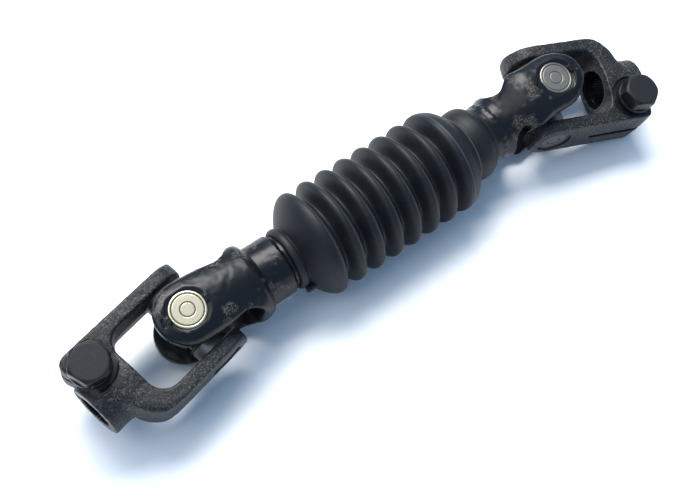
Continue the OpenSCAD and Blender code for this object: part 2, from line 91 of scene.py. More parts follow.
# Sizes from the part's source, in millimetres.
CUP_R, CUP_FACE, CUP_MOUTH, CUP_END = 8.0, 22.7, 11.5, 1.2
SPOT_REACH, SPOT_R = 23.6, 10.5
TRUNNION_R, TRUNNION_REACH, SHOULDER_R, SHOULDER_REACH = 5.0, 21.4, 6.8, 9.65
EAR_HALF, ARM_GAP, ARM_HALF, ARM_DRAFT, EAR_R = 24.7, 16.8, 13.0, 1.5, 13.0
WINDOW_REACH, WINDOW_R, SHOULDER_BEND = 31.0, 8.5, 17.0
HUB_R, HUB_REACH, LUG_REACH, LUG_R = 12.4, 52.0, 50.4, 6.0
BORE_R, TOOTH_DEPTH, TEETH, MOUTH_R, MOUTH_DEPTH = 7.7, 0.7, 36, 9.4, 4.0
SLIT, SLIT_START = 2.6, 18.0
BOLT_R, BOLT_AT, BOLT_OFF, SEAT_Z, WASHER_T, WASHER_R = 5.0, 42.2, 12.3, 12.5, 2.4, 8.8
HEAD_AF, HEAD_H, BOLT_FOOT = 16.0, 6.9, -14.6

# The photo's camera in the shaft's own frame, in millimetres.
PHOTO_WIDTH, FOCAL_PIXELS = 700, 952.9
CAMERA_AT = (-56.4629, -75.5452, 396.0896)
CAMERA_RIGHT = (0.796229, -0.578784, 0.176147)
CAMERA_DOWN = (-0.514488, -0.800965, -0.306197)


# ------------------------------------------------------------------- nodes
class Wire:
    """A value in a node tree: Python's signs add Math nodes to it."""

    def __init__(self, tree, socket):
        self.tree, self.socket = tree, socket

    def math(self, operation, *others, clamp=False):
        node = self.tree.nodes.new("ShaderNodeMath")
        node.operation, node.use_clamp = operation, clamp
        for socket, value in zip(node.inputs, others):
            plug(self.tree, socket, value)
        return Wire(self.tree, node.outputs[0])

    def __add__(self, other): return self.math("ADD", self, other)
    def __radd__(self, other): return self.math("ADD", other, self)
    def __sub__(self, other): return self.math("SUBTRACT", self, other)
    def __rsub__(self, other): return self.math("SUBTRACT", other, self)
    def __mul__(self, other): return self.math("MULTIPLY", self, other)
    def __rmul__(self, other): return self.math("MULTIPLY", other, self)
    def __truediv__(self, other): return self.math("DIVIDE", self, other)
    def clamp(self): return self.math("ADD", self, 0.0, clamp=True)

    def step(self, low, high):
        """0 below low, 1 above high, and smooth in between."""
        t = ((self - low) / (high - low)).clamp()
        return t * t * (3 - 2 * t)


def plug(tree, socket, value):
    """Links a wire to a socket, or gives the socket a plain value."""
    if isinstance(value, Wire):
        tree.links.new(value.socket, socket)
    else:
        socket.default_value = value


def add_node(tree, kind, settings, out, inputs):
    """Adds a node. An underscore in an input's key stands for a space."""
    made = tree.nodes.new(kind)
    for key, value in (settings or {}).items():
        setattr(made, key, value)
    for key, value in inputs.items():
        plug(tree, made.inputs[key.replace("_", " ")], value)
    return Wire(tree, made.outputs[out])


# ---------------------------------------------------------------- finishes
class Finish:
    """A material with one Principled shader and a plain way to add nodes."""

    def __init__(self, name, **shader):
        self.material = bpy.data.materials.new(name)
        self.material.use_nodes = True
        self.tree = self.material.node_tree
        self.shader = self.tree.nodes["Principled BSDF"]
        for socket, value in shader.items():
            self.shader.inputs[socket.replace("_", " ")].default_value = value

    def node(self, kind, settings=None, out=0, **inputs):
        return add_node(self.tree, "ShaderNode" + kind, settings, out, inputs)

    def value(self, name):
        """A number that the piece's mesh carries at each point."""
        return self.node("Attribute", {"attribute_name": name}, out=2)

    def noise(self, size, detail=3.0, rough=0.55):
        """Noise whose lumps are about that many millimetres across."""
        return self.node("TexNoise", Vector=self.node("TexCoord", out=3), Scale=1000.0 / size,
                         Detail=detail, Roughness=rough)

    def blend(self, share, first, second):
        made = self.tree.nodes.new("ShaderNodeMix")
        made.data_type = "RGBA"
        # Of the node's sockets these three mix colours.
        for number, value in ((0, share), (6, first), (7, second)):
            plug(self.tree, made.inputs[number], value)
        return Wire(self.tree, made.outputs[2])

    def feed(self, **inputs):
        for socket, value in inputs.items():
            self.tree.links.new(value.socket, self.shader.inputs[socket.replace("_", " ")])

    def relief(self, height, depth):
        """Bump from a height between 0 and 1 that stands for depth millimetres."""
        self.feed(Normal=self.node("Bump", Height=height, Distance=depth * MM))


# Colours are linear. The light brown specks on the raw skin are partly dust in its pits and partly
# a painted reflection of the warm light on the flats.
FORGED_BLACK, FORGED_DUST_AND_SHEEN = (0.0036, 0.0040, 0.0056, 1), (0.100, 0.090, 0.074, 1)
GLOSS_BLACK, GLOSS_DUST_AND_SHEEN = (0.0042, 0.0047, 0.0064, 1), (0.115, 0.100, 0.080, 1)
OXIDE_BLACK, OXIDE_GREY = (0.0036, 0.0042, 0.0062, 1), (0.012, 0.013, 0.014, 1)
STEEL_DARK, STEEL_LIGHT = (0.46, 0.46, 0.47, 1), (0.60, 0.60, 0.60, 1)
RUBBER_DARK, RUBBER_BLOOM = (0.0062, 0.0070, 0.0094, 1), (0.0105, 0.0112, 0.0132, 1)
# Painted highlight colour for the boot's moulding lines.
RUBBER_LINE_HIGHLIGHT = (0.115, 0.118, 0.126, 1)
SEAL_DARK, SEAL_GREY = (0.012, 0.012, 0.013, 1), (0.03, 0.029, 0.027, 1)
FLOOR_DARK, FLOOR_LIGHT = (0.94, 0.945, 0.95, 1), (0.955, 0.96, 0.965, 1)


def forged_paint():
    """Black paint over a forged skin: coarse grain where the forging is raw,
    smooth where it was machined."""
    f = Finish("forged_black_paint", Specular_IOR_Level=0.42)
    raw = f.value("raw")
    grain = f.noise(0.75, 4.0, 0.62)
    pits = f.noise(1.7, 2.0, 0.5).step(0.56, 0.70)
    lumps = f.noise(7.0, 2.0)
    patch = 0.45 + 0.55 * f.noise(9.0, 2.0).step(0.40, 0.60)
    # Light brown specks on the raw skin: partly dust, partly painted reflection of the light.
    dust_and_sheen = (f.noise(0.8, 3.0, 0.7).step(0.52, 0.62) * raw * patch).clamp()
    f.feed(Base_Color=f.blend(dust_and_sheen, FORGED_BLACK, FORGED_DUST_AND_SHEEN))
    f.feed(Roughness=(0.30 + 0.14 * raw + 0.12 * (grain - 0.5) + 0.10 * lumps).clamp())
    height = raw * (0.7 * grain - 0.35 * pits) + 0.1 * lumps
    f.relief(height, 0.20)
    return f.material


def gloss_paint():
    """The same paint on the smoother shaft yokes, with a few rough patches."""
    f = Finish("glossy_black_paint", Specular_IOR_Level=0.30)
    raw = f.value("raw")
    patch = f.noise(9.0, 2.0).step(0.57, 0.66)
    grain = f.noise(0.6, 4.0, 0.65)
    lumps = f.noise(5.0, 2.0)
    rough = (raw * patch).clamp()
    # Light specks in the rough patches: partly dust, partly painted reflection of the light.
    dust_and_sheen = (rough * grain.step(0.48, 0.60)).clamp()
    f.feed(Base_Color=f.blend(dust_and_sheen, GLOSS_BLACK, GLOSS_DUST_AND_SHEEN))
    f.feed(Roughness=(0.29 + 0.22 * rough * grain + 0.05 * lumps).clamp())
    f.relief(0.06 * lumps + 0.7 * rough * grain + 0.08 * grain, 0.12)
    return f.material


def bolt_finish():
    """Black oxide: matt, with a lighter grey in random spots and on the head's top face, dark on
    the flats.
    """
    f = Finish("black_bolt", Specular_IOR_Level=0.36)
    face = f.value("face")
    # Greyer in random spots and on the head's top face.
    grey_share = f.noise(1.6, 4.0, 0.6).step(0.50, 0.70) * 0.5 + 0.5 * face
    f.feed(Base_Color=f.blend(grey_share, OXIDE_BLACK, OXIDE_GREY))
    f.feed(Roughness=(0.32 + 0.12 * f.noise(3.0, 3.0) + 0.22 * face).clamp())
    f.relief(f.noise(0.9, 3.0), 0.05)
    return f.material


def cup_finish(name, tint, grime, gloss):
    """Plated cup with the fine circles that turning leaves on its face."""
    f = Finish(name, Metallic=1.0)
    ring = f.value("ring")
    circles = f.node("TexNoise", {"noise_dimensions": "1D"}, W=ring * 5.0,
                     Scale=1.0, Detail=2.0)
    stain = (f.noise(1.3, 4.0, 0.65).step(0.56, 0.74) * 0.7 + f.value("groove")).clamp()
    f.feed(Base_Color=f.blend(stain, tint, grime))
    f.feed(Roughness=(gloss + 0.12 * circles + 0.25 * stain).clamp())
    f.relief(circles, 0.012)
    return f.material


def bright_steel():
    f = Finish("ground_steel", Metallic=1.0)
    scratch = f.noise(1.2, 4.0)
    f.feed(Base_Color=f.blend(scratch, STEEL_DARK, STEEL_LIGHT))
    f.feed(Roughness=0.22 + 0.2 * scratch)
    f.relief(scratch, 0.01)
    return f.material


def boot_rubber():
    """Moulded rubber: a fine bloom, and the fold's moulding lines painted light as painted
    highlights.
    """
    f = Finish("boot_rubber", Specular_IOR_Level=0.30)
    bloom = f.noise(9.0, 3.0)
    fine = f.noise(0.4, 3.0, 0.6)
    line = f.value("line")
    base = f.blend(bloom.step(0.35, 0.7), RUBBER_DARK, RUBBER_BLOOM)
    # The moulding lines get a lighter colour: painted highlight.
    f.feed(Base_Color=f.blend((line * 0.85).clamp(), base, RUBBER_LINE_HIGHLIGHT))
    f.feed(Roughness=(0.44 + 0.14 * bloom - 0.10 * line).clamp())
    f.relief(0.6 * fine + 0.4 * bloom, 0.03)
    return f.material


def seal_rubber():
    f = Finish("seal_rubber", Specular_IOR_Level=0.35)
    f.feed(Base_Color=f.blend(f.noise(2.0), SEAL_DARK, SEAL_GREY))
    f.feed(Roughness=0.5 + 0.2 * f.noise(3.0))
    f.relief(f.noise(0.6), 0.02)
    return f.material


def floor_finish():
    f = Finish("pale_floor", Specular_IOR_Level=0.25)
    f.feed(Base_Color=f.blend(f.noise(60.0), FLOOR_DARK, FLOOR_LIGHT))
    f.feed(Roughness=0.5 + 0.1 * f.noise(40.0))
    return f.material


PAINT, GLOSS, BOLT = forged_paint(), gloss_paint(), bolt_finish()
CUPS = {
    "lower": cup_finish("bright_cup", (0.66, 0.59, 0.42, 1), (0.10, 0.06, 0.025, 1), 0.26),
    "upper": cup_finish("dull_cup", (0.27, 0.25, 0.21, 1), (0.13, 0.11, 0.09, 1), 0.34),
    # The side arms' cups are the same plated cups, painted darker: painted shade for the dark
    # reflections they catch.
    "side": cup_finish("shade_darkened_cup", (0.20, 0.19, 0.18, 1), (0.03, 0.03, 0.03, 1), 0.36),
}
STEEL, BOOT, SEAL = bright_steel(), boot_rubber(), seal_rubber()


# ------------------------------------------------- solids as distance fields
def outline(points, x, y):
    """Distance to a closed outline on a flat grid, negative inside it."""
    points = np.array(points, float)
    best = np.full(x.shape, 1e9)
    inside = np.zeros(x.shape, bool)
    for a, b in zip(points, np.roll(points, -1, 0)):
        d = b - a
        t = np.clip(((x - a[0]) * d[0] + (y - a[1]) * d[1]) / max(d @ d, 1e-12), 0, 1)
        best = np.minimum(best, np.hypot(x - a[0] - t * d[0], y - a[1] - t * d[1]))
        crossing = (a[1] > y) != (b[1] > y)
        if a[1] != b[1]:
            inside ^= crossing & (x < a[0] + (y - a[1]) * d[0] / d[1])
    return np.where(inside, -best, best)


def hull_of(points):
    """Convex outline of a set of points, in order."""
    points = sorted(map(tuple, points))
    def half(run):
        kept = []
        for p in run:
            while len(kept) > 1 and (
                (kept[-1][0] - kept[-2][0]) * (p[1] - kept[-2][1])
                - (kept[-1][1] - kept[-2][1]) * (p[0] - kept[-2][0])
            ) <= 1e-9:
                kept.pop()
            kept.append(p)
        return kept[:-1]
    return half(points) + half(points[::-1])


def arc(x, y, radius, count=48):
    return [(x + radius * math.cos(2 * math.pi * i / count),
             y + radius * math.sin(2 * math.pi * i / count)) for i in range(count)]


def both(a, b, soft=0.0):
    """Where two solids meet, with the edge between them rounded."""
    if not soft:
        return np.maximum(a, b)
    h = np.maximum(soft - np.abs(a - b), 0) / soft
    return np.maximum(a, b) + h * h * soft / 4


def either(a, b, soft=0.0):
    """Two solids as one, with a fillet between them."""
    return -both(-a, -b, soft)


def less(a, b, soft=0.0):
    return both(a, -b, soft)


def slab(x, low, high):
    return np.maximum(low - x, x - high)


def lumpy(shape, step, wave, seed):
    """Soft random lumps between about -1 and 1, the same on every run."""
    rng = np.random.default_rng(seed)
    field = np.fft.rfftn(rng.standard_normal(shape))
    k = [np.fft.fftfreq(n, step) for n in shape[:2]] + [np.fft.rfftfreq(shape[2], step)]
    k2 = k[0][:, None, None] ** 2 + k[1][None, :, None] ** 2 + k[2][None, None, :] ** 2
    field = np.fft.irfftn(field * np.exp(-k2 * (wave * 1.3) ** 2), s=shape)
    return field / (field.std() * 2)


def grid(low, high, step):
    axes = [np.arange(a, b + step, step) for a, b in zip(low, high)]
    return axes, np.meshgrid(*axes, indexing="ij", sparse=True)


def surface(field, low, step):
    """Skin of a distance field as points and quads, faces outwards."""
    n = np.array(field.shape)
    total = np.zeros((*(n - 1), 3))
    count = np.zeros(n - 1)
    edges = []
    for axis in range(3):
        f0 = np.take(field, range(0, n[axis] - 1), axis)
        f1 = np.take(field, range(1, n[axis]), axis)
        cross = (f0 < 0) != (f1 < 0)
        part = np.where(cross, f0 / np.where(cross, f0 - f1, 1), 0)
        others = [a for a in range(3) if a != axis]
        edges.append((cross, f0 < 0, others))
        for da in (0, 1):
            for db in (0, 1):
                pick = [slice(None)] * 3
                pick[others[0]] = slice(da, n[others[0]] - 1 + da)
                pick[others[1]] = slice(db, n[others[1]] - 1 + db)
                m = cross[tuple(pick)]
                count += m
                total[..., axis] += np.where(m, part[tuple(pick)], 0)
                total[..., others[0]] += m * da
                total[..., others[1]] += m * db
    used = count > 0
    index = np.full(n - 1, -1)
    index[used] = np.arange(used.sum())
    cells = np.argwhere(used)
    points = cells + total[used] / count[used][:, None]
    quads = []
    for axis, (cross, inside, others) in enumerate(edges):
        a, b = others
        core = [slice(None)] * 3
        core[a], core[b] = slice(1, n[a] - 1), slice(1, n[b] - 1)
        found = np.argwhere(cross[tuple(core)])
        if not len(found):
            continue
        found[:, a] += 1
        found[:, b] += 1
        way = inside[tuple(found.T)]
        def corner(da, db):
            cell = found.copy()
            cell[:, a] -= da
            cell[:, b] -= db
            return index[tuple(cell.T)]
        quad = np.stack([corner(1, 1), corner(0, 1), corner(0, 0), corner(1, 0)], 1)
        if axis == 1:
            way = ~way
        quad[~way] = quad[~way][:, ::-1]
        quads.append(quad)
    quads = np.concatenate(quads)
    # Two steps towards the true surface take out the grid's steps.
    slope = np.stack(np.gradient(field), -1)
    for _ in range(2):
        value, normal = sample(field, points), sample(slope, points)
        size = np.maximum((normal * normal).sum(1), 1e-3)
        points = points - np.clip(value / size, -0.6, 0.6)[:, None] * normal
    return points * step + np.array(low), quads


def sample(field, points):
    """Field values at points between the grid's own, by the eight around."""
    top = np.array(field.shape[:3]) - 2
    base = np.clip(np.floor(points).astype(int), 0, top)
    t = np.clip(points - base, 0, 1)
    out = 0
    for corner in range(8):
        d = np.array([corner & 1, corner >> 1 & 1, corner >> 2 & 1])
        w = np.prod(np.where(d, t, 1 - t), 1)
        v = field[tuple((base + d).T)]
        out = out + (v * (w[:, None] if v.ndim > 1 else w))
    return out


# ------------------------------------------------------------- making pieces
def piece(name, points, faces, where, material, smooth=40, **values):
    """A mesh piece from points in millimetres, put where it belongs."""
    m = np.array(where)
    world = (np.asarray(points) @ m[:3, :3].T + m[:3, 3]) * MM
    mesh = bpy.data.meshes.new(name)
    mesh.from_pydata(world.tolist(), [], [list(map(int, f)) for f in faces])
    for key, numbers in values.items():
        layer = mesh.attributes.new(key, "FLOAT", "POINT")
        layer.data.foreach_set("value", np.asarray(numbers, np.float32))
    mesh.materials.append(material)
    made = bpy.data.objects.new(name, mesh)
    bpy.context.scene.collection.objects.link(made)
    mesh.shade_smooth()
    if smooth:
        mesh.set_sharp_from_angle(angle=math.radians(smooth))
    mesh.update()
    return made


def stands_for(made, body, *nodes):
    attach(made, body)
    if nodes:
        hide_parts(*nodes)


def lathe(profile, count=128):
    """Points and faces of a profile of (radius, height) turned about z. A
    radius of 0 at either end closes it with one point."""
    points, rings = [], []
    for r, z in profile:
        if r < 1e-6:
            rings.append([len(points)] * count)
            points.append((0, 0, z))
        else:
            rings.append(list(range(len(points), len(points) + count)))
            points += [(r * math.cos(2 * math.pi * i / count),
                        r * math.sin(2 * math.pi * i / count), z) for i in range(count)]
    faces = []
    for low, high in zip(rings, rings[1:]):
        for i in range(count):
            j = (i + 1) % count
            face = []
            for v in (low[i], low[j], high[j], high[i]):
                if v not in face:
                    face.append(v)
            if len(face) > 2:
                faces.append(face)
    return np.array(points, float), faces


# How finely the distance fields are sampled, and what the cuts share.
FORGING_STEP, BOLT_STEP, WASHER_STEP = 0.42, 0.27, 0.26
CUP_PLAY, BOLT_PLAY, SPOT_EDGE = 0.02, 0.25, 0.5


def opening(ear, half, reach, bend):
    """Outline of the opening between two ears, with round inner corners."""
    start = -ear - 8
    return hull_of([(start, -half), (start, half)] + arc(reach - bend, half - bend, bend)
                   + arc(reach - bend, bend - half, bend))


def cup_cuts(across, along, face):
    """The bore for a bearing cup and the flat milled round it."""
    return either(both(across - (CUP_R + CUP_PLAY), -along),
                  both(across - SPOT_R, face - along, SPOT_EDGE))


def forged_skin(solid, cuts, low):
    """Skin of a forging, its points on the field's grid, and how raw each
    one is: from 0 next to a cut to 1 a little further off."""
    points, quads = surface(solid, low, FORGING_STEP)
    where = (points - np.array(low)) / FORGING_STEP
    return points, quads, where, np.clip((sample(cuts, where) - 0.15) / 0.5, 0, 1)


SHOULDER_PAST, WINDOW_DRAFT, SLIT_SLANT, SEAT_R = 10.5, 1.1, 1.05, 10.9


def clamp_solid():
    """The clamp yoke: a forging whose raw edges are round, then machined."""
    low, high = (-14.5, -27.0, -15.0), (54.0, 27.0, 15.0)
    axes, (u, v, w) = grid(low, high, FORGING_STEP)
    flat_u, flat_v = np.meshgrid(axes[0], axes[1], indexing="ij")
    shoulder_at = WINDOW_REACH + SHOULDER_PAST - SHOULDER_BEND
    plan = outline(hull_of(
        [(-EAR_R, -EAR_HALF), (-EAR_R, EAR_HALF)]
        + arc(shoulder_at, EAR_HALF - SHOULDER_BEND, SHOULDER_BEND)
        + arc(LUG_REACH - LUG_R, LUG_R - EAR_HALF, LUG_R)), flat_u, flat_v)[:, :, None]
    window = outline(opening(EAR_R, ARM_GAP, WINDOW_REACH, WINDOW_R), flat_u, flat_v)[:, :, None]
    flat_v, flat_w = np.meshgrid(axes[1], axes[2], indexing="ij")
    deep, drafted = ARM_HALF, EAR_HALF - ARM_DRAFT
    section = outline([
        (EAR_HALF, 0), (drafted, deep), (-drafted, deep), (-EAR_HALF, 0),
        (-drafted, -deep), (drafted, -deep)], flat_v, flat_w)[None]
    side = np.where(u > 0, np.abs(w) - EAR_R, np.hypot(u, w) - EAR_R)
    solid = both(both(plan, section, 3.2), side, 2.4)
    # The hub stays a hair inside the CAD's, because its edges are soft.
    hub = both(np.hypot(v, w) - HUB_R + 0.1, slab(u, WINDOW_REACH - 2, HUB_REACH - 0.15), 0.9)
    solid = either(solid, hub, 3.5)
    solid = less(solid, window + WINDOW_DRAFT * (1 - np.abs(w) / ARM_HALF), 1.2)
    forged = solid + 0.07 * lumpy(solid.shape, FORGING_STEP, 2.2, 7)
    # What is cut after forging: the edges of these stay crisp.
    inside, past = 20, 70
    cuts = both(np.hypot(v, w) - MOUTH_R, slab(u, inside, WINDOW_REACH + MOUTH_DEPTH))
    cuts = either(cuts, both(np.hypot(v, w) - BORE_R, slab(u, inside, past)))
    cuts = either(cuts, both(np.abs(w) - SLIT / 2, both(
        SLIT_START + (v + EAR_HALF) * SLIT_SLANT - u, v)))
    bolt = np.hypot(u - BOLT_AT, v + BOLT_OFF)
    cuts = either(cuts, both(bolt - (BOLT_R + BOLT_PLAY), -w))
    cuts = either(cuts, both(bolt - BOLT_R, w))
    cuts = either(cuts, both(bolt - SEAT_R, SEAT_Z - w))
    for way in (-1, 1):
        cuts = either(cuts, cup_cuts(np.hypot(u, w), way * v, SPOT_REACH))
    points, quads, where, raw = forged_skin(less(forged, cuts, 0.35), cuts, low)
    # Only what was the forging's own skin is raw, and the hub's end is faced.
    raw = raw * (np.abs(sample(forged, where)) < 0.5) * (points[:, 0] < HUB_REACH - 0.4)
    return points, quads, raw


FORK_HALF, FORK_GAP, FORK_EAR, FORK_OUT = 23.6, 16.6, 14.2, 24.4
# Half the yoke's width along its axis, as it runs out past the ear.
FORK_PLAN = {"lower": ([0, 10, 20, 30], [14.2, 14.0, 14.0, 16.9]),
             "upper": ([0, 8, 14, 22, 28], [14.2, 13.9, 14.3, 17.2, 18.5])}
THROAT_REACH, THROAT_R, NECK_REACH, NECK_R = 28.5, 9.5, 46.5, 13.7
TUBE_R, WELD_W = 12.7, 3.0
WELD_AT = {"lower": 46.9, "upper": 34.5}
WELD_SEAT = {"lower": TUBE_R, "upper": NECK_R}
LUMP_SEED = {"lower": 11, "upper": 12}
RING_R, RING_HALF, RING_DEEP = 9.3, 1.7, 1.0
DENT_FROM, DENT_TO, DENT_HALF, DENT_DEEP = 10.6, 11.5, 1.8, 0.7


def fork_profile(end):
    """The outside of a shaft yoke as it would be turned: (x, radius)."""
    far = [(60, NECK_R)]
    if end == "lower":
        return [(-20, FORK_OUT), (4, FORK_OUT)] + [
            (29.5 + 5.5 * math.sin(t), NECK_R + 5.9 * math.cos(t))
            for t in (0, 0.3, 0.6, 0.9, 1.2, 1.45, 1.57)] + far
    return [(-20, FORK_OUT)] + [
        (12 + 24 * t, FORK_OUT - 10.7 * t * t * (3 - 2 * t))
        for t in (i / 16 for i in range(17))] + far


def fork_solid(end):
    """A shaft yoke: turned outside, two flats, a fork and a welded neck."""
    low, high = (-16.0, -17.0, -25.6), (NECK_REACH + 3.2, 17.0, 25.6)
    axes, (x, y, z) = grid(low, high, FORGING_STEP)
    r = np.sqrt(y * y + z * z)
    px, pr = np.array(fork_profile(end)).T
    # The share brings the slanted profile's distance nearer to the true one.
    round_out = (r - np.interp(x, px, pr)) * 0.93
    flat_x, flat_y = np.meshgrid(axes[0], axes[1], indexing="ij")
    plan = np.where(flat_x < 0, np.hypot(flat_x, flat_y) - FORK_EAR,
                    np.abs(flat_y) - np.interp(flat_x, *FORK_PLAN[end]))[:, :, None]
    solid = both(both(round_out, plan, 2.6), np.abs(z) - FORK_HALF - 0.2, 1.6)
    solid = both(solid, x - NECK_REACH)
    neck = both(r - NECK_R, slab(x, THROAT_REACH, NECK_REACH), 0.3)
    solid = either(solid, neck, 2.0)
    flat_x, flat_z = np.meshgrid(axes[0], axes[2], indexing="ij")
    gap = outline(opening(FORK_EAR, FORK_GAP, THROAT_REACH, THROAT_R), flat_x, flat_z)[:, None, :]
    solid = less(solid, gap, 1.4)
    solid = solid + 0.06 * lumpy(solid.shape, FORGING_STEP, 2.6, LUMP_SEED[end])
    # The weld's bead: overlapping puddles round the neck.
    angle = np.arctan2(z, y)
    off = x - WELD_AT[end]
    ripple = 0.16 * np.cos(angle * 26 + off * 0.9) + 0.1 * np.cos(angle * 11 + 1.3)
    bead = np.hypot(off - 0.25 * np.sin(angle * 26), (r - WELD_SEAT[end] + 0.4) * 1.15)
    bead = bead - (WELD_W / 2 + ripple)
    tube_inside = both(r - TUBE_R + 0.3, NECK_REACH - x)
    solid = less(either(solid, bead, 0.8), tube_inside)
    # Each cup's bore and flat, the recess round it and the two staked dents.
    cuts = np.inf
    for way in (-1, 1):
        along, across = way * z, np.hypot(x, y)
        ring = both(both(across - RING_R, FORK_HALF - RING_DEEP - along), RING_HALF - np.abs(y))
        dent = both(both(np.abs(y) - DENT_HALF, slab(np.abs(x), DENT_FROM, DENT_TO)),
                    FORK_HALF - DENT_DEEP - along)
        cuts = either(cuts, either(cup_cuts(across, along, FORK_HALF), either(ring, dent)))
    solid = less(solid, cuts, 0.25)
    if end == "upper":
        solid = less(solid, both(r - 9.1, NECK_REACH - 10 - x))
    points, quads, _, raw = forged_skin(solid, cuts, low)
    return points, quads, raw


def spider_solid():
    """Forged cross: ground trunnions on a raw boss."""
    low, high = (-10.0, -23.0, -23.0), (10.0, 23.0, 23.0)
    x, y, z = grid(low, high, FORGING_STEP)[1]
    solid = both(np.hypot(y, z) - 9.0, np.abs(x) - 6.0, 2.0)
    for along, across in ((z, y), (y, z)):
        r = np.hypot(x, across)
        root = both(r - SHOULDER_R, np.abs(along) - SHOULDER_REACH, 0.5)
        pin = both(r - TRUNNION_R, np.abs(along) - TRUNNION_REACH, 0.6)
        solid = either(solid, root, 2.5)
        solid = either(solid, pin)
    points, quads = surface(solid, low, FORGING_STEP)
    reach = np.maximum(np.abs(points[:, 1]), np.abs(points[:, 2]))
    return points, quads, np.clip((SHOULDER_REACH - 0.4 - reach) / 0.6, 0, 1)


WAIST_R, THREAD_PITCH, THREAD_DEEP = 4.45, 1.5, 0.45
SPLIT_AT, SPLIT_HALF, WASHER_MID = math.radians(50), 0.55, 1.2


def bolt_solid():
    """Pinch bolt: a worn hexagon head, a waist and a rolled thread."""
    base = SEAT_Z + WASHER_T
    top = base + HEAD_H
    low, high = (-9.8, -9.8, BOLT_FOOT - 1), (9.8, 9.8, top + 1)
    x, y, z = grid(low, high, BOLT_STEP)[1]
    r = np.hypot(x, y)
    angle = np.arctan2(y, x)
    flats = [np.abs(x * math.cos(a) + y * math.sin(a)) - HEAD_AF / 2
             for a in map(math.radians, (60, 120, 180))]
    hexagon = both(both(flats[0], flats[1], 0.9), flats[2], 0.9)
    head = both(hexagon, slab(z, base, top), 0.5)
    # The chamfer above and the one below, under the corners.
    head = both(head, (r - 7.5 + (z - top)) * 0.7, 0.3)
    head = both(head, (r - 8.6 - (z - base) * 1.5) * 0.55, 0.4)
    turn_of = ((z / THREAD_PITCH - angle / (2 * math.pi)) % 1.0) - 0.5
    thread = r - (BOLT_R - THREAD_DEEP + 0.8 * np.abs(turn_of))
    thread = both(thread, slab(z, BOLT_FOOT, -BORE_R - 1.2), 0.5)
    shank = both(r - BOLT_R, slab(z, BORE_R + 1.2, base + 0.5))
    waist = both(r - WAIST_R, slab(z, -BORE_R - 2, BORE_R + 2))
    solid = either(either(head, shank, 0.3), either(thread, waist, 0.6), 0.4)
    points, quads = surface(solid, low, BOLT_STEP)
    return points, quads, np.clip((points[:, 2] - top + 0.3) / 0.2, 0, 1)


def washer_solid():
    """Split spring washer with a slanted split."""
    low, high = (-9.6, -9.6, SEAT_Z - 0.8), (9.6, 9.6, SEAT_Z + WASHER_T + 0.8)
    x, y, z = grid(low, high, WASHER_STEP)[1]
    r = np.hypot(x, y)
    body = both(slab(r, BOLT_R + BOLT_PLAY, WASHER_R), slab(z, SEAT_Z, SEAT_Z + WASHER_T), 0.6)
    across = -x * math.sin(SPLIT_AT) + y * math.cos(SPLIT_AT)
    along = x * math.cos(SPLIT_AT) + y * math.sin(SPLIT_AT)
    cut = both(np.abs(across - (z - SEAT_Z - WASHER_MID) * 0.5) - SPLIT_HALF, -along)
    return surface(less(body, cut, 0.2), low, WASHER_STEP)


# Radius of the two rings pressed into a cup's face, and of its inside.
GROOVES, CUP_INSIDE, SEAL_INSIDE = (6.6, 3.05), 7.0, TRUNNION_R + 0.06


def cup_profile():
    """Drawn cup: closed end, bore, turned-in mouth and a face with two
    pressed rings, as (radius, height)."""
    face = [
        (8.0, 0.6), (7.92, 0.34), (7.75, 0.14), (7.5, 0.02), (7.25, 0.0), (7.0, 0.0),
        (6.85, 0.12), (6.6, 0.3), (6.35, 0.14), (6.2, 0.1), (6.0, 0.1), (3.6, 0.1), (3.4, 0.1),
        (3.25, 0.18), (3.05, 0.32), (2.85, 0.18), (2.7, 0.1), (2.5, 0.1), (0.0, 0.1)]
    end = CUP_FACE - CUP_END
    return [
        (0.0, end), (CUP_INSIDE, end), (CUP_INSIDE, CUP_MOUTH), (7.6, CUP_MOUTH),
        (7.9, CUP_MOUTH + 0.2), (8.0, CUP_MOUTH + 0.6)] + [(r, CUP_FACE - deep) for r, deep in face]


def seal_profile():
    """Dust seal: a ring with a rounded lip, as (radius, height)."""
    return [(SEAL_INSIDE, CUP_MOUTH), (SEAL_INSIDE, CUP_MOUTH - 1.7), (6.9, CUP_MOUTH - 1.7),
            (7.4, CUP_MOUTH - 1.5), (7.75, CUP_MOUTH - 1.0), (7.8, CUP_MOUTH),
            (SEAL_INSIDE, CUP_MOUTH)]


